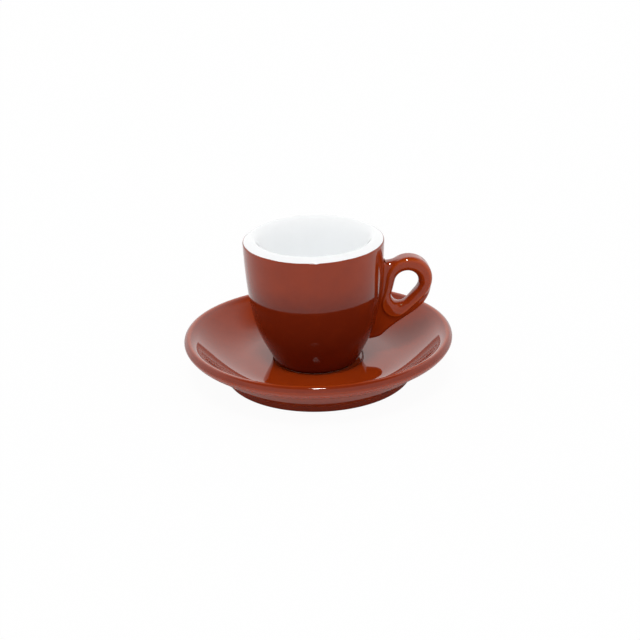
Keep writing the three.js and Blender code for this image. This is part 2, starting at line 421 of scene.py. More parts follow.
@dataclass(frozen=True)
class WhiteGlaze:
    """Clear white glaze on stoneware: cool white, very smooth, with a trace of cloudiness."""

    name: str = "white_glaze_on_stoneware"
    clear: str = "fdfefe"
    cloudy: str = "fcfdfe"
    ior: float = 1.18  # below a real glaze's, because the bowl mirrors itself and would darken
    roughness: float = 0.05
    roughness_spread: float = 0.03
    cloud_mm: float = 12.0
    cloud_detail: float = 3.0
    ripple_mm: float = 8.0
    ripple_detail: float = 1.0
    ripple_height_mm: float = 0.01

    def material(self) -> bpy.types.Material:
        """Makes a glossy white coat with faint clouds and ripples.

        Returns:
            The material.
        """
        material = bpy.data.materials.new(self.name)
        material.use_nodes = True
        tree = material.node_tree
        where = add_node(tree, "ShaderNodeTexCoord").outputs["Object"]
        cloud = add_node(
            tree, "ShaderNodeTexNoise",
            {"Vector": where, "Scale": 1.0 / (self.cloud_mm * MM), "Detail": self.cloud_detail},
        ).outputs[0]
        base = add_node(
            tree, "ShaderNodeMix", {0: cloud, 6: linear(self.clear), 7: linear(self.cloudy)},
            data_type="RGBA",
        ).outputs[2]
        gloss = add_node(
            tree, "ShaderNodeMapRange",
            {"Value": cloud, 3: self.roughness, 4: self.roughness + self.roughness_spread},
        ).outputs[0]
        ripple = add_node(
            tree, "ShaderNodeTexNoise",
            {"Vector": where, "Scale": 1.0 / (self.ripple_mm * MM), "Detail": self.ripple_detail},
        ).outputs[0]
        bump = add_node(
            tree, "ShaderNodeBump", {"Height": ripple, "Distance": self.ripple_height_mm * MM},
        ).outputs[0]
        shader = tree.nodes["Principled BSDF"]
        shader.inputs["IOR"].default_value = self.ior
        tree.links.new(base, shader.inputs["Base Color"])
        tree.links.new(gloss, shader.inputs["Roughness"])
        tree.links.new(bump, shader.inputs["Normal"])
        return material


@dataclass(frozen=True)
class BareStoneware:
    """Fired clay without glaze, wiped clean where a ring stands: matt, warm buff, finely sandy."""

    name: str = "unglazed_stoneware"
    clay: str = "c9b49a"
    sand: str = "a88e72"
    roughness: float = 0.85
    grain_mm: float = 0.5
    grain_detail: float = 3.0
    grain_height_mm: float = 0.04

    def material(self) -> bpy.types.Material:
        """Makes a matt, sandy surface.

        Returns:
            The material.
        """
        material = bpy.data.materials.new(self.name)
        material.use_nodes = True
        tree = material.node_tree
        where = add_node(tree, "ShaderNodeTexCoord").outputs["Object"]
        grain = add_node(
            tree, "ShaderNodeTexNoise",
            {"Vector": where, "Scale": 1.0 / (self.grain_mm * MM), "Detail": self.grain_detail},
        ).outputs[0]
        base = add_node(
            tree, "ShaderNodeMix", {0: grain, 6: linear(self.clay), 7: linear(self.sand)}, data_type="RGBA",
        ).outputs[2]
        bump = add_node(
            tree, "ShaderNodeBump", {"Height": grain, "Distance": self.grain_height_mm * MM},
        ).outputs[0]
        shader = tree.nodes["Principled BSDF"]
        shader.inputs["Roughness"].default_value = self.roughness
        tree.links.new(base, shader.inputs["Base Color"])
        tree.links.new(bump, shader.inputs["Normal"])
        return material


def bare_faces(piece: bpy.types.Object, highest_mm: float) -> None:
    """Gives the second material to the faces whose middles lie no higher than a height above the table.

    Args:
        piece: the piece, with two materials.
        highest_mm: the height.
    """
    count = len(piece.data.polygons)
    middles = np.empty(3 * count)
    piece.data.polygons.foreach_get("center", middles)
    height = middles.reshape(-1, 3)[:, 2] / MM
    piece.data.polygons.foreach_set("material_index", (height <= highest_mm).astype(np.int32))


@dataclass
class Saucer:
    """Turned saucer with a rolled lip, a bowl-shaped well, a seat for the cup and a ring to stand on.

    Its lip sank a little on one side in the kiln.
    """

    radius: float
    height: float
    lip_crest_inset: float = 2.0
    lip_edge_drop: float = 2.25
    lip_depth: float = 7.0
    lip_undercut: float = 4.4
    lip_width: float = 6.0
    lip_inner_drop: float = 2.3
    slope_degrees: float = 45.0
    well_fullness: float = 0.7
    floor_radius: float = 32.0
    floor_height: float = 7.6
    flank_height: float = 3.4
    flank_step: float = 1.2
    flank_corner: float = 0.2
    standing_radius: float = 42.0
    standing_width: float = 4.6
    standing_height: float = 2.4
    standing_round: float = 0.7
    seat_radius: float = 19.7
    seat_depth: float = 0.7
    seat_edge: float = 0.8
    bare_height: float = 0.02
    sag: float = 1.5
    sag_start: float = 45.0
    thin: float = 0.12
    thin_outside: float = 0.15
    thin_outside_fade: float = 0.5
    # painted highlight lines, with thinner glaze, along the flank's two edges
    edge_thin_and_highlight: float = 0.4
    edge_thin_and_highlight_width: float = 0.5
    thin_crest: float = 0.4
    thin_crest_inset: float = 2.3
    thin_crest_width: float = 0.7
    thin_well: float = 0.21
    segments: int = 320

    def profile(self) -> Array:
        """Lays the section from the middle of the underside round the lip to the middle of the seat.

        Returns:
            Points (radius, height).
        """
        inner = self.standing_radius - self.standing_width
        ring = self.standing_round
        lip_lower = self.height - self.lip_depth
        lip_edge = self.height - self.lip_edge_drop
        slope_top = self.height - self.lip_inner_drop
        slope_radius = self.radius - self.lip_width
        slope = math.tan(math.radians(self.slope_degrees))
        lip_corner = slope_radius + self.lip_inner_drop / slope
        floor_corner = slope_radius - (slope_top - self.floor_height) / slope
        seat = self.floor_height - self.seat_depth
        edge = self.seat_radius + self.seat_edge
        soft = 0.5 * self.seat_edge
        section = Profile((0.0, self.standing_height))
        section.line((inner - ring, self.standing_height), 12)
        section.bend((inner, self.standing_height), (inner, self.standing_height - ring), 6)
        section.line((inner, ring), 1)
        section.bend((inner, 0.0), (inner + ring, 0.0), 6)
        section.line((self.standing_radius - ring, 0.0), 3)
        section.bend((self.standing_radius, 0.0), (self.standing_radius, ring), 6)
        section.line((self.standing_radius, self.flank_height - self.flank_step), 4)
        section.bend(
            (self.standing_radius, self.flank_height - self.flank_corner),
            (self.standing_radius + self.flank_step, self.flank_height), 8,
        )
        section.line((self.radius - self.lip_undercut, lip_lower), 24)
        section.bend((self.radius, 0.5 * (lip_lower + lip_edge)), (self.radius, lip_edge), 16)
        section.bend((self.radius, self.height), (self.radius - self.lip_crest_inset, self.height), 20)
        section.bend((lip_corner, self.height), (slope_radius, slope_top), 20)
        section.bend(
            (floor_corner, self.floor_height), (self.floor_radius, self.floor_height), 60, self.well_fullness,
        )
        section.line((edge + soft, self.floor_height), 8)
        section.bend((edge, self.floor_height), (edge - soft, self.floor_height - 0.5 * self.seat_depth), 6)
        section.bend((self.seat_radius, seat), (self.seat_radius - soft, seat), 6)
        section.line((0.0, seat), 12)
        return section.points()

    def thinness(self, profile: Array) -> Array:
        """Gives how thin the glaze lies on the saucer, with painted highlight lines in it.

        It runs off the lip's crest and the flank's two edges, as exp(-(distance / width)^2), and a little off
        the flank and the well. Along the flank's two edges the same bell also paints highlight lines.

        Args:
            profile: points (radius, height).

        Returns:
            Thinness on each row.
        """
        radius = profile[:, 0]
        above = np.arange(len(profile)) > int(np.argmax(radius))
        beyond = radius - self.standing_radius - 0.5 * self.flank_step
        outside = smoothstep(0.0, self.thin_outside_fade, beyond) * ~above
        from_crest = (radius - self.radius + self.thin_crest_inset) / self.thin_crest_width
        crest = np.exp(-(from_crest ** 2)) * above
        flank = np.array([self.standing_radius + self.flank_step, self.flank_height])
        fold = np.array([self.radius - self.lip_undercut, self.height - self.lip_depth])
        # along the flank's two edges this bell paints highlight lines as well as thinner glaze
        edges = sum(
            np.exp(-((np.hypot(*(profile - edge).T) / self.edge_thin_and_highlight_width) ** 2)) for edge in (flank, fold)
        )
        well = smoothstep(self.radius - self.lip_crest_inset, self.radius - self.lip_width, radius) * above
        sides = self.thin_outside * outside + self.thin_well * well
        return np.clip(self.thin + sides + self.edge_thin_and_highlight * edges + self.thin_crest * crest, 0.0, 1.0)

    def build(self, glaze: bpy.types.Material, bare: bpy.types.Material) -> bpy.types.Object:
        """Makes the saucer: its section turned, with the back sunk by sag reach (y / radius)^2.

        The reach rises from 0 inside the well to 1 at the lip's edge.

        Args:
            glaze: material of the glazed surface.
            bare: material of the ring that it stands on.

        Returns:
            The saucer.
        """
        profile = self.profile()
        grid = turned(profile, self.segments)
        reach = smoothstep(self.sag_start, self.radius, np.hypot(grid[..., 0], grid[..., 1]))
        grid[..., 2] -= self.sag * reach * (np.clip(grid[..., 1], 0.0, None) / self.radius) ** 2
        piece = capped_piece("saucer_glazed", grid, self.thinness(profile))
        piece.data.materials.append(glaze)
        piece.data.materials.append(bare)
        bare_faces(piece, self.bare_height)
        place(piece, Body.SAUCER, "saucer")
        return piece


@dataclass
class Cup:
    """Thick-walled cup: a white bowl with a rolled rim and a foot ring, and the brown coat outside."""

    radius: float
    foot: float
    top: float
    axis_x: float
    base_radius: float = 19.4
    base_height: float = 1.45
    belly_base_pull: Point = (4.5, 11.2)
    belly_rim_pull: Point = (1.2, 42.65)
    wall_drop: float = 1.9
    foot_radius: float = 18.5
    foot_width: float = 2.8
    foot_hollow: float = 1.1
    foot_round: float = 0.5
    rim_width: float = 8.6
    rim_crest_inset: float = 3.8
    rim_drop: float = 13.0
    rim_edge_round: float = 0.6
    rim_edge: Point = (0.55, 1.55)
    rim_edge_pull: Point = (1.7, 0.88)
    rim_crest_pull: float = 1.1
    bowl_depth: float = 50.95
    bowl_fullness: float = 0.78
    coat_edge_drop: float = 1.9
    coat_thickness: float = 0.45
    coat_edge_thickness: float = 0.28
    coat_taper: float = 3.0
    coat_lap: float = 0.5
    coat_hem: float = 0.3
    # painted light: the coat grows lighter and more orange towards the top
    coat_painted_light: float = 0.22
    coat_painted_light_drop: float = 12.0
    bead_rise: float = 0.6
    bead_reach: float = 1.2
    tuck_gap: float = 0.05
    tuck_drop: float = 0.7
    tuck_corner_drop: float = 0.35
    tuck_foot_bend: Point = (0.35, 0.25)
    tuck_base_bend: Point = (0.15, 0.2)
    bed_gap: float = 0.1
    wave_height: float = 0.09
    waves: tuple[tuple[float, int, float], ...] = ((0.5, 5, 0.6), (0.35, 11, 2.1), (0.25, 23, 4.0))
    drip_length: float = 0.3
    drip_width: float = 0.9
    drip_degrees: float = -92.0
    bare_height: float = 0.25
    segments: int = 360

    def wall(self) -> Array:
        """Lays the outside of the cup: the wall, its soft upper edge and the rim's slope up to its crest.

        Returns:
            Points (radius, height above the table).
        """
        low = self.foot + self.base_height
        high = self.top - self.wall_drop
        outside = Profile((self.base_radius, low))
        outside.curve(
            (self.base_radius + self.belly_base_pull[0], low + self.belly_base_pull[1]),
            (self.radius - self.belly_rim_pull[0], high - self.belly_rim_pull[1]),
            (self.radius, high), 160,
        )
        points = outside.points()
        start = high - self.rim_edge_round
        below = points[points[:, 1] < start]
        rim = Profile((float(np.interp(start, points[:, 1], points[:, 0])), start))
        rim.bend((self.radius, high), (self.radius - self.rim_edge[0], self.top - self.rim_edge[1]), 12)
        self.add_slope(rim)
        return np.vstack([below, rim.points()])

    def add_slope(self, section: Profile) -> None:
        """Adds the rim's outer slope, which flattens towards its crest."""
        crest = self.radius - self.rim_crest_inset
        section.curve(
            (self.radius - self.rim_edge_pull[0], self.top - self.rim_edge_pull[1]),
            (crest + self.rim_crest_pull, self.top), (crest, self.top), 24,
        )

    def wall_radius(self, height: Array) -> Array:
        """Radius of the outside of the cup at a height."""
        points = self.wall()
        return np.interp(height, points[:, 1], points[:, 0])

    def bowl_profile(self) -> Array:
        """Lays the bowl's section: foot ring, wall under the coat, rim and inside.

        Returns:
            Points (radius, height above the table).
        """
        inner = self.foot_radius - self.foot_width
        hollow = self.foot + self.foot_hollow
        soft = self.foot_round
        mouth = self.radius - self.rim_width
        floor = self.top - self.bowl_depth
        rim_start = self.top - self.wall_drop - self.rim_edge_round
        side = self.radius - self.coat_edge_thickness
        section = Profile((0.0, hollow))
        section.line((inner - soft, hollow), 8)
        section.bend((inner, hollow), (inner, hollow - 0.5 * soft), 4)
        section.line((inner, self.foot + soft), 1)
        section.bend((inner, self.foot), (inner + soft, self.foot), 6)
        section.line((self.foot_radius - soft, self.foot), 2)
        section.bend((self.foot_radius, self.foot), (self.foot_radius, self.foot + soft), 6)
        heights = np.linspace(self.foot + self.base_height, rim_start, 60)
        depth = np.interp(
            heights, [rim_start - self.coat_taper, rim_start],
            [self.coat_thickness + self.bed_gap, self.coat_edge_thickness],
        )
        section.parts.append(np.stack([self.wall_radius(heights) - depth, heights], axis=-1))
        edge = (self.radius - self.rim_edge[0], self.top - self.rim_edge[1])
        section.bend((side, self.top - self.wall_drop), edge, 10)
        self.add_slope(section)
        section.bend((mouth, self.top), (mouth, self.top - self.rim_drop), 40)
        section.bend((mouth, floor), (0.0, floor), 60, self.bowl_fullness)
        return section.points()

    def build_bowl(self, glaze: bpy.types.Material, bare: bpy.types.Material) -> bpy.types.Object:
        """Makes the white bowl.

        Args:
            glaze: material of the glazed surface.
            bare: material of the foot ring's underside.

        Returns:
            The bowl.
        """
        profile = self.bowl_profile()
        piece = capped_piece(
            "cup_bowl_white", turned(profile, self.segments, self.axis_x), np.zeros(len(profile)),
        )
        piece.data.materials.append(glaze)
        piece.data.materials.append(bare)
        bare_faces(piece, self.foot + self.bare_height)
        place(piece, Body.CUP, "cup_bowl")
        return piece

    def coat_edge(self, angle: Array) -> Array:
        """Height of the coat's upper edge round the cup: level, with a few low waves and one small drip.

        The waves are a sum of share sin(count angle + phase), the drip is exp(-(distance / width)^2).

        Args:
            angle: angle round the axis, from +X towards +Y.

        Returns:
            Heights above the table.
        """
        waves = sum(share * np.sin(count * angle + phase) for share, count, phase in self.waves)
        away = np.angle(np.exp(1j * (angle - math.radians(self.drip_degrees)))) * self.radius
        drip = self.drip_length * np.exp(-(away / self.drip_width) ** 2)
        return self.top - self.coat_edge_drop + self.wave_height * waves - drip

    def build_coat(self, glaze: bpy.types.Material) -> bpy.types.Object:
        """Makes the brown coat: its outside follows the wall up to a rounded edge, its inside runs back down.

        Args:
            glaze: material of the coat.

        Returns:
            The coat.
        """
        angle = np.linspace(0.0, 2.0 * np.pi, self.segments, endpoint=False)
        edge = self.coat_edge(angle)[None, :]
        low = self.foot + self.base_height
        foot = self.foot_radius + self.tuck_gap
        tuck = Profile((foot, self.foot + self.bare_height + self.bed_gap))
        tuck.line((foot, low - self.tuck_drop), 3)
        tuck.bend(
            (foot, low - self.tuck_corner_drop),
            (self.foot_radius + self.tuck_foot_bend[0], low - self.tuck_foot_bend[1]), 4,
        )
        tuck.bend(
            (self.base_radius - self.tuck_base_bend[0], low - self.tuck_base_bend[1]),
            (self.base_radius, low), 5,
        )
        under = tuck.points()[:-1]
        share = np.sin(0.5 * np.pi * np.linspace(0.0, 1.0, 150))[:, None]
        outside_height = low + share * (edge - low)
        outside_radius = self.wall_radius(outside_height)
        turn = np.linspace(0.0, 0.5 * np.pi, 9)[1:, None]
        bead = self.coat_edge_thickness
        bead_height = edge + self.bead_rise * bead * np.sin(turn)
        bead_radius = outside_radius[-1:] - self.bead_reach * bead * (1.0 - np.cos(turn))
        down = np.linspace(0.0, 1.0, 30)[:, None]
        inside_height = edge - self.coat_lap + down * (low + self.coat_hem - edge + self.coat_lap)
        inside_radius = self.wall_radius(inside_height) - np.interp(
            edge - inside_height, [self.coat_lap, self.coat_taper],
            [self.bead_reach * bead, self.coat_thickness],
        )
        wide = np.ones_like(edge)
        radius = np.vstack([under[:, :1] * wide, outside_radius, bead_radius, inside_radius])
        height = np.vstack([under[:, 1:] * wide, outside_height, bead_height, inside_height])
        grid = np.stack([self.axis_x + radius * np.cos(angle), radius * np.sin(angle), height], axis=-1)
        # painted light: lighter and more orange from mid-height towards the top
        middle = 0.5 * (self.foot + self.top)
        thin = self.coat_painted_light * smoothstep(middle, self.top - self.coat_painted_light_drop, height)
        piece = looped_piece("cup_outer_glaze_coat", grid, thin)
        piece.data.materials.append(glaze)
        place(piece, Body.CUP, "cup_outer_glaze")
        return piece


@dataclass(frozen=True)
class Egg:
    """Outline in the handle's plane: a round upper end and a narrow lower end, joined by straight sides."""

    top: Array
    top_radius: float
    chin: Array
    chin_radius: float

    def outline(self) -> Array:
        """Lays the closed outline: two arcs joined by straight sides.

        Returns:
            Points in order, starting on the right.
        """
        axis = self.top - self.chin
        heading = math.atan2(axis[1], axis[0])
        spread = math.pi - math.acos((self.top_radius - self.chin_radius) / np.linalg.norm(axis))
        upper = np.linspace(heading - spread, heading + spread, 160)[:, None]
        lower = np.linspace(heading + spread, heading - spread + 2.0 * np.pi, 120)[:, None]
        top = self.top + self.top_radius * np.hstack([np.cos(upper), np.sin(upper)])
        bottom = self.chin + self.chin_radius * np.hstack([np.cos(lower), np.sin(lower)])
        sides = np.linspace(0.0, 1.0, 30)[:, None]
        left = top[-1] + sides * (bottom[0] - top[-1])
        right = bottom[-1] + sides * (top[0] - bottom[-1])
        return np.vstack([top, left, bottom, right])

    def distance(self, points: Array) -> Array:
        """Signed distance, positive outside: to the nearer of the arcs, or to the straight side between them.

        Args:
            points: places in the handle's plane.

        Returns:
            A distance for each place.
        """
        axis = self.top - self.chin
        length = np.linalg.norm(axis)
        along_axis = axis / length
        local = points - self.chin
        along = local @ along_axis
        across = np.abs(local @ np.array([along_axis[1], -along_axis[0]]))
        sine = (self.chin_radius - self.top_radius) / length
        cosine = math.sqrt(1.0 - sine ** 2)
        place_on_side = along * cosine - across * sine
        to_low = np.hypot(across, along) - self.chin_radius
        to_high = np.hypot(across, along - length) - self.top_radius
        to_side = across * cosine + along * sine - self.chin_radius
        upper = np.where(place_on_side > cosine * length, to_high, to_side)
        return np.where(place_on_side < 0.0, to_low, upper)


@dataclass
class Handle:
    """Ring handle round an egg-shaped finger hole, with a thinner web to the shoulder and down the tail."""

    cup: Cup
    ring_thickness: float = 9.6
    web_thickness: float = 7.0
    outer_round: float = 2.4
    heel_round: float = 0.8
    outer_depth: float = 2.8
    inner_round: float = 3.0
    heel_inner_round: float = 5.4
    heel_facing: Point = (0.5, -0.87)
    heel_span: Point = (0.2, 0.8)
    inner_depth: float = 4.4
    web_edge_round: float = 1.8
    web_edge_depth: float = 3.0
    hole_out: float = 9.9
    hole_drop: float = 23.6
    hole_radius: float = 5.35
    chin_out: float = 6.75
    chin_drop: float = 29.35
    chin_radius: float = 3.7
    ring_out: float = 10.75
    ring_drop: float = 21.95
    ring_radius: float = 10.4
    heel_out: float = 4.5
    heel_drop: float = 33.15
    heel_radius: float = 6.2
    shoulder_drop: float = 13.6
    shoulder_pull: float = 3.8
    shoulder_fillet: float = 1.5
    web_setback: float = 0.1
    tail_height: float = 8.35
    tail_out: float = 5.2
    tail_degrees: float = 44.0
    tail_fillet: float = 3.0
    tail_tip_pull: float = 15.6
    tail_ring_pull: float = 16.0
    tail_fullness: float = 2.0 / 3.0
    root_top: float = 3.0
    root_depth: float = 1.2
    root_fillet: float = 2.2
    root_rounds: int = 4
    crease: float = 0.7
    ridge: float = 0.2
    thin: float = 0.3
    # painted highlight line, with thinner glaze, along the ring's outer ridge
    ridge_thin_and_highlight: float = 0.2
    ridge_thin_and_highlight_width: float = 0.5
    thin_clear: Point = (0.2, 1.2)
    angles: int = 480
    steps: int = 72

    def spot(self, out: float, drop: float) -> Array:
        """Place in the handle's plane, as distance from the cup's axis and height above the table."""
        return np.array([self.cup.radius + out, self.cup.top - drop])

    @property
    def hole(self) -> Egg:
        """Outline of the finger hole."""
        return Egg(
            self.spot(self.hole_out, self.hole_drop), self.hole_radius,
            self.spot(self.chin_out, self.chin_drop), self.chin_radius,
        )

    @property
    def ring(self) -> Egg:
        """Outline of the ring's outside."""
        return Egg(
            self.spot(self.ring_out, self.ring_drop), self.ring_radius,
            self.spot(self.heel_out, self.heel_drop), self.heel_radius,
        )

    def shoulder_edge(self) -> Array:
        """Lays the web's upper edge from inside the wall, over its fillet, to the top of the ring.

        Returns:
            Points in order.
        """
        level = self.cup.top - self.shoulder_drop
        wall = float(self.cup.wall_radius(np.array(level)))
        ring = self.ring.top
        crest = ring[1] + self.ring_radius - self.web_setback
        raised = level + self.shoulder_fillet
        start = wall + self.shoulder_fillet
        edge = Profile((wall - 2.0 * self.root_depth, raised))
        edge.line((wall, raised), 6)
        edge.bend((wall, level), (start, level), 16)
        pull = ring[0] - self.shoulder_pull
        edge.curve((start + self.shoulder_pull, level), (pull, crest), (ring[0], crest), 40)
        return edge.points()

    def tail_edge(self) -> Array:
        """Lays the web's outer edge from the ring's outer side down the tail and into the wall.

        Returns:
            Points in order.
        """
        ring = self.ring.top
        level = self.cup.foot + self.tail_height
        wall = float(self.cup.wall_radius(np.array(level)))
        outer = ring[0] + self.ring_radius - self.web_setback
        angle = math.radians(self.tail_degrees)
        climb = np.array([math.cos(angle), math.sin(angle)])
        corner = np.array([wall + self.tail_out, level])
        tip = corner + self.tail_fillet * climb
        edge = Profile((outer, ring[1]))
        edge.curve((outer, ring[1] - self.tail_ring_pull), tip + self.tail_tip_pull * climb, tip, 80)
        edge.bend(corner, (wall, level), 24, self.tail_fullness)
        edge.line((wall - 3.0 * self.root_depth, level), 6)
        return edge.points()

    @staticmethod
    def distance_to(line: Array, points: Array) -> Array:
        """Distance from each place to the nearest of a line's straight stretches.

        Args:
            line: points in order.
            points: places.

        Returns:
            A distance for each place.
        """
        start, step = line[:-1], np.diff(line, axis=0)
        offset = points[:, None, :] - start[None]
        share = np.clip((offset * step).sum(-1) / (step ** 2).sum(-1), 0.0, 1.0)
        return np.linalg.norm(offset - share[..., None] * step, axis=-1).min(axis=1)

    @staticmethod
    def rounded(distance: Array, edge: float, round_: Array | float, depth: float) -> Array:
        """Half thickness at a distance from a rounded edge: edge + depth sqrt(1 - (1 - d / round)^2)."""
        near = np.clip(1.0 - distance / round_, 0.0, 1.0)
        return edge + depth * np.sqrt(1.0 - near ** 2) + EDGE_FALL * np.minimum(distance, 0.0)

    @staticmethod
    def closed_reach(outline: Array, middle: Array, angle: Array) -> Array:
        """Distance of a closed outline from a place inside it, in each direction.

        Args:
            outline: points of the outline.
            middle: the place.
            angle: directions.

        Returns:
            A distance for each direction.
        """
        arm = outline - middle
        bearing = np.arctan2(arm[:, 1], arm[:, 0])
        return np.interp(angle, bearing, np.hypot(*arm.T), period=2.0 * np.pi)

    @staticmethod
    def open_reach(line: Array, middle: Array, angle: Array, start: float, beyond: Point) -> Array:
        """Distance of an open line from a place, in each direction.

        Args:
            line: points of the line.
            middle: the place.
            angle: directions, in the turn that begins at the start.
            start: a direction in which the line isn't.
            beyond: values in the directions before and after the line.

        Returns:
            A distance for each direction.
        """
        arm = line - middle
        bearing = (np.arctan2(arm[:, 1], arm[:, 0]) - start) % (2.0 * np.pi) + start
        order = np.argsort(bearing)
        return np.interp(angle, bearing[order], np.hypot(*arm.T)[order], left=beyond[0], right=beyond[1])

    def grid(self) -> tuple[Array, Array]:
        """Lays a grid in the handle's plane: angles round the finger hole, and steps out to the outline.

        Returns:
            Places (distance from the cup's axis, height above the table), and whether each is in the web.
        """
        hole = self.hole
        middle = 0.5 * (hole.top + hole.chin)
        angle = np.linspace(-np.pi, np.pi, self.angles, endpoint=False)
        heights = np.linspace(self.cup.foot + self.cup.base_height, self.cup.top - self.root_top, 160)
        root = np.stack([self.cup.wall_radius(heights) - self.root_depth, heights], axis=-1)
        web_reach = np.maximum(
            self.open_reach(self.shoulder_edge(), middle, angle, -np.pi, (0.0, FAR)),
            self.open_reach(self.tail_edge(), middle, angle, -np.pi, (FAR, 0.0)),
        )
        out_reach = np.minimum(
            np.maximum(web_reach, self.closed_reach(self.ring.outline(), middle, angle)),
            self.open_reach(root, middle, angle % (2.0 * np.pi), 0.0, (FAR, FAR)),
        )
        hole_reach = self.closed_reach(hole.outline(), middle, angle)
        share = 0.5 * (1.0 - np.cos(np.pi * np.linspace(0.0, 1.0, self.steps)))[:, None]
        radius = hole_reach + share * (out_reach - hole_reach)
        spot = middle + radius[..., None] * np.stack([np.cos(angle), np.sin(angle)], axis=-1)
        return spot, radius <= web_reach + NEARLY

    def half_thickness(self, spot: Array, in_ring: Array, within_web: Array) -> Array:
        """Gives half of the handle's thickness without its fillet at the wall.

        It is the larger of the ring's, rounded along its outside, and the web's, rounded along the
        shoulder and the tail. The hole's rounding, which is broadest under the hole, cuts both.

        Args:
            spot: places in the handle's plane.
            in_ring: how far each is inside the ring's outside.
            within_web: whether each is in the web.

        Returns:
            Half thickness at each place.
        """
        hole, ring = self.hole, self.ring
        flat = spot.reshape(-1, 2)
        from_hole = np.maximum(hole.distance(spot), 0.0)
        from_edge = np.minimum(
            self.distance_to(self.shoulder_edge(), flat), self.distance_to(self.tail_edge(), flat),
        ).reshape(within_web.shape)
        in_web = np.where(within_web, from_edge, -from_edge)
        ring_side = 0.5 * self.ring_thickness
        web_edge = 0.5 * self.web_thickness - self.web_edge_depth
        rise = smoothstep(ring.chin[1], hole.top[1], spot[..., 1])
        outer_round = self.heel_round + (self.outer_round - self.heel_round) * rise
        arm = spot - hole.chin
        under = smoothstep(*self.heel_span, arm @ np.array(self.heel_facing) / np.linalg.norm(arm, axis=-1))
        inner_round = self.inner_round + (self.heel_inner_round - self.inner_round) * under
        ring_half = self.rounded(in_ring, ring_side - self.outer_depth, outer_round, self.outer_depth)
        hole_half = self.rounded(from_hole, ring_side - self.inner_depth, inner_round, self.inner_depth)
        web_half = self.rounded(in_web, web_edge, self.web_edge_round, self.web_edge_depth)
        half = -smooth_max(-hole_half, -smooth_max(ring_half, web_half, self.crease), self.ridge)
        return np.maximum(half, web_edge)

    def build(self, glaze: bpy.types.Material) -> bpy.types.Object:
        """Makes the handle: the grid in its plane, moved out by half the thickness to each side.

        A fillet, a quarter circle, widens it towards the wall.

        Args:
            glaze: material of the handle.

        Returns:
            The handle.
        """
        spot, within_web = self.grid()
        in_ring = -self.ring.distance(spot)
        plain = self.half_thickness(spot, in_ring, within_web)
        wall = self.cup.wall_radius(spot[..., 1])
        half = plain
        for _ in range(self.root_rounds):
            clear = spot[..., 0] - np.sqrt(wall ** 2 - half ** 2)
            near = np.clip(1.0 - clear / self.root_fillet, 0.0, 1.0)
            flare = self.root_fillet * (1.0 - np.sqrt(1.0 - near ** 2))
            half = plain * (1.0 + flare / (0.5 * self.ring_thickness))

        # a painted highlight line, with thinner glaze, along the ring's outer ridge, fading out near the wall
        line = np.exp(-(((in_ring - self.heel_round) / self.ridge_thin_and_highlight_width) ** 2))
        thin = self.thin + self.ridge_thin_and_highlight * line * smoothstep(*self.thin_clear, clear)
        back = np.stack([self.cup.axis_x + spot[..., 0], half, spot[..., 1]], axis=-1)
        front = back[::-1] * np.array([1.0, -1.0, 1.0])
        piece = looped_piece("cup_handle_ring", np.vstack([back, front]), np.vstack([thin, thin[::-1]]))
        piece.data.materials.append(glaze)
        place(piece, Body.CUP, "cup_handle")
        return piece


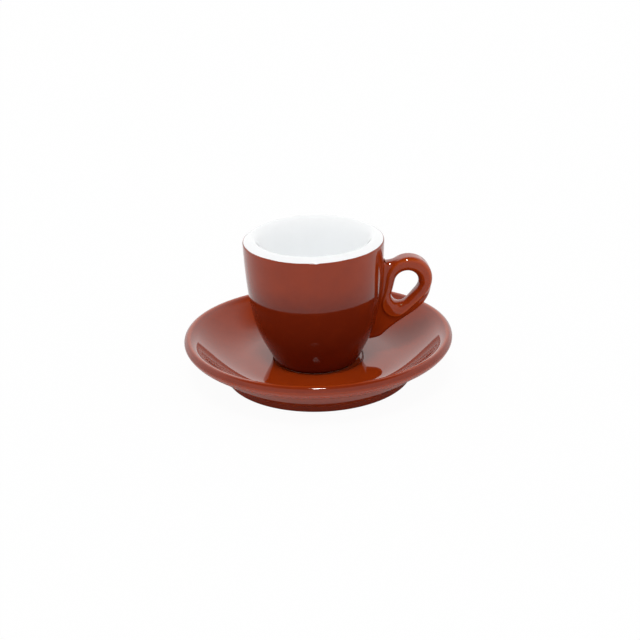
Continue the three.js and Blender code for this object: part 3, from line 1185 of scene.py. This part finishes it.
@dataclass
class Studio:
    """White table, a white surround that is brightest behind the cup, a dark ceiling and two lamps overhead.

    The soft lamp lights matt surfaces. The small one is the lamp that the glaze mirrors, once and no more.
    """

    table_size: float = 6.0
    table_gap_mm: float = 0.05
    table_colour: str = "fcfcfc"
    table_shown: float = 0.955
    table_mirrored: float = 0.03
    surround_front: float = 0.75
    surround_back: float = 1.48
    surround_bias: float = 1.5
    surround_low: float = 0.5
    surround_high: float = 0.66
    surround_sides: float = 0.4
    ceiling: float = 0.04
    surround_top: float = 42.0
    ceiling_start: float = 62.0
    light_strength: float = 0.85
    light_degrees: float = 14.0
    light_elevation: float = 68.0
    shine_strength: float = 1.8
    shine_degrees: float = 7.5
    shine_elevation: float = 79.0
    shine_depth: float = 2.5  # rays that are deeper have been mirrored before, and don't see it
    lamp_azimuth: float = -7.7

    def build_table(self) -> None:
        """Makes the table: a white sheet that the camera sees brighter, with the object's shadow on it.

        To the camera and in the glaze it is part white light and part matt white; otherwise it is matt white.
        """
        half = 0.5 * self.table_size
        corners = np.array([[-half, -half], [half, -half], [half, half], [-half, half]])
        points = np.hstack([corners, np.full((4, 1), -self.table_gap_mm * MM)])
        mesh = bpy.data.meshes.new("table_top")
        mesh.from_pydata(points.tolist(), [], [(0, 1, 2, 3)])
        table = bpy.data.objects.new("table_top", mesh)
        bpy.context.scene.collection.objects.link(table)
        material = bpy.data.materials.new("matt_white_laminate")
        material.use_nodes = True
        tree = material.node_tree
        tree.nodes.clear()
        colour = linear(self.table_colour)
        matt = add_node(tree, "ShaderNodeBsdfDiffuse", {"Color": colour}).outputs[0]
        glow = add_node(tree, "ShaderNodeEmission", {"Color": (1.0, 1.0, 1.0, 1.0)}).outputs[0]
        shown = add_node(tree, "ShaderNodeMixShader", {0: self.table_shown, 1: matt, 2: glow}).outputs[0]
        mirrored = add_node(
            tree, "ShaderNodeMixShader", {0: self.table_mirrored, 1: matt, 2: glow},
        ).outputs[0]
        path = add_node(tree, "ShaderNodeLightPath").outputs
        sharp = add_node(
            tree, "ShaderNodeMixShader", {0: path["Is Glossy Ray"], 1: matt, 2: mirrored},
        ).outputs[0]
        surface = add_node(
            tree, "ShaderNodeMixShader", {0: path["Is Camera Ray"], 1: sharp, 2: shown},
        ).outputs[0]
        add_node(tree, "ShaderNodeOutputMaterial", {"Surface": surface})
        mesh.materials.append(material)

    def build_surround(self) -> None:
        """Makes the surround: bright up to a dark ceiling, and brighter behind the cup than in front.

        Glossy surfaces see it as it is. Its light on matt surfaces is soft, and strongest from both sides.
        """
        world = bpy.data.worlds.new("white_surround")
        world.use_nodes = True
        bpy.context.scene.world = world
        tree = world.node_tree
        direction = add_node(tree, "ShaderNodeTexCoord").outputs["Generated"]
        axes = add_node(tree, "ShaderNodeSeparateXYZ", {0: direction}).outputs
        fade = add_node(
            tree, "ShaderNodeMapRange",
            {
                "Value": axes["Z"], 1: math.sin(math.radians(self.surround_top)),
                2: math.sin(math.radians(self.ceiling_start)), 3: 1.0, 4: self.ceiling,
            },
            interpolation_type="SMOOTHSTEP",
        ).outputs[0]
        behind = add_node(tree, "ShaderNodeMapRange", {"Value": axes["Y"], 1: -1.0, 2: 1.0}).outputs[0]
        biased = add_node(
            tree, "ShaderNodeMath", {0: behind, 1: self.surround_bias}, operation="POWER",
        ).outputs[0]
        mirrored = add_node(
            tree, "ShaderNodeMapRange", {"Value": biased, 3: self.surround_front, 4: self.surround_back},
        ).outputs[0]
        path = add_node(tree, "ShaderNodeLightPath").outputs
        sharp = add_node(
            tree, "ShaderNodeMath", {0: path["Is Glossy Ray"], 1: path["Is Transmission Ray"]},
            operation="MAXIMUM",
        ).outputs[0]
        mirror = add_node(tree, "ShaderNodeMath", {0: fade, 1: mirrored}, operation="MULTIPLY").outputs[0]
        level = add_node(
            tree, "ShaderNodeMapRange", {"Value": axes["Z"], 3: self.surround_low, 4: self.surround_high},
        ).outputs[0]
        sideways = add_node(
            tree, "ShaderNodeMath", {0: axes["X"], 1: axes["X"]}, operation="MULTIPLY",
        ).outputs[0]
        soft = add_node(
            tree, "ShaderNodeMath", {0: sideways, 1: self.surround_sides, 2: level}, operation="MULTIPLY_ADD",
        ).outputs[0]
        lit = add_node(tree, "ShaderNodeMix", {0: sharp, 2: soft, 3: mirror}).outputs[0]
        seen = add_node(tree, "ShaderNodeMix", {0: path["Is Camera Ray"], 2: lit, 3: 1.0}).outputs[0]
        backdrop = tree.nodes["Background"]
        backdrop.inputs["Color"].default_value = (1.0, 1.0, 1.0, 1.0)
        tree.links.new(seen, backdrop.inputs["Strength"])

    def build_lamp(self, name: str, strength: float, width: float, elevation: float) -> bpy.types.Object:
        """Makes a far lamp that shines down from a direction.

        Args:
            name: name of the lamp.
            strength: strength of its light.
            width: angle that it covers, in degrees.
            elevation: its angle above the horizon, in degrees.

        Returns:
            The lamp.
        """
        lamp = bpy.data.lights.new(name, "SUN")
        lamp.energy = strength
        lamp.angle = math.radians(width)
        holder = bpy.data.objects.new(name, lamp)
        holder.rotation_euler = (math.radians(90.0 - elevation), 0.0, math.radians(self.lamp_azimuth))
        bpy.context.scene.collection.objects.link(holder)
        return holder

    def build(self) -> None:
        """Makes the table, the surround and the lamps."""
        self.build_table()
        self.build_surround()
        light = self.build_lamp("soft_lamp", self.light_strength, self.light_degrees, self.light_elevation)
        light.visible_glossy = False
        shine = self.build_lamp("small_lamp", self.shine_strength, self.shine_degrees, self.shine_elevation)
        shine.visible_diffuse = False
        shine.data.use_nodes = True
        tree = shine.data.node_tree
        depth = add_node(tree, "ShaderNodeLightPath").outputs["Ray Depth"]
        first = add_node(
            tree, "ShaderNodeMath", {0: depth, 1: self.shine_depth}, operation="LESS_THAN",
        ).outputs[0]
        tree.links.new(first, tree.nodes["Emission"].inputs["Strength"])


@dataclass
class PhotoCamera:
    """Camera at the photograph's place: a narrow lens that looks down at the cup from its front."""

    target: tuple[float, float, float] = (1.0175, -0.071, 24.99)
    azimuth: float = -4.0
    elevation: float = 23.02
    roll: float = -1.66
    distance: float = 624.0
    focal_px: float = 1395.1
    image_px: float = 640.0
    sensor: float = 36.0
    near_limit: float = 0.01

    def build(self) -> None:
        """Makes the camera from its bearing, its elevation and its roll about the view."""
        azimuth, elevation, roll = (math.radians(v) for v in (self.azimuth, self.elevation, self.roll))
        level_back = math.cos(elevation)
        back = Vector((
            math.sin(azimuth) * level_back, -math.cos(azimuth) * level_back, math.sin(elevation),
        ))
        level = Vector((math.cos(azimuth), math.sin(azimuth), 0.0))
        upright = level.cross(-back)
        right = level * math.cos(roll) + upright * math.sin(roll)
        up = upright * math.cos(roll) - level * math.sin(roll)
        lens = bpy.data.cameras.new("photo_camera")
        lens.sensor_width = self.sensor
        lens.lens = self.focal_px * self.sensor / self.image_px
        lens.clip_start = self.near_limit
        camera = bpy.data.objects.new("photo_camera", lens)
        pose = Matrix((right, up, back)).transposed().to_4x4()
        pose.translation = (Vector(self.target) + back * self.distance) * MM
        camera.matrix_world = pose
        bpy.context.scene.collection.objects.link(camera)
        bpy.context.scene.camera = camera


def main() -> None:
    """Builds the camera, the studio and the pieces in order."""
    logging.basicConfig(level=logging.INFO, format="%(name)s: %(message)s")
    bpy.context.scene.view_settings.view_transform = "Standard"
    bpy.context.scene.cycles.max_bounces = LIGHT_BOUNCES
    bpy.context.scene.cycles.diffuse_bounces = LIGHT_BOUNCES
    PhotoCamera().build()
    Studio().build()
    brown, white, bare = BrownGlaze().material(), WhiteGlaze().material(), BareStoneware().material()
    saucer_high = np.array(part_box("saucer")[1]) / MM
    bowl_low, bowl_high = (np.array(corner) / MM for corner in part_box("cup_bowl"))
    coat_low, coat_high = (np.array(corner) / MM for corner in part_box("cup_outer_glaze"))
    Saucer(radius=float(saucer_high[0]), height=float(saucer_high[2])).build(brown, bare)
    cup = Cup(
        radius=float(0.5 * (coat_high[0] - coat_low[0])), foot=float(bowl_low[2]), top=float(bowl_high[2]),
        axis_x=float(0.5 * (bowl_low[0] + bowl_high[0])),
    )
    cup.build_bowl(white, bare)
    cup.build_coat(brown)
    Handle(cup).build(brown)


if __name__ == "__main__":
    main()
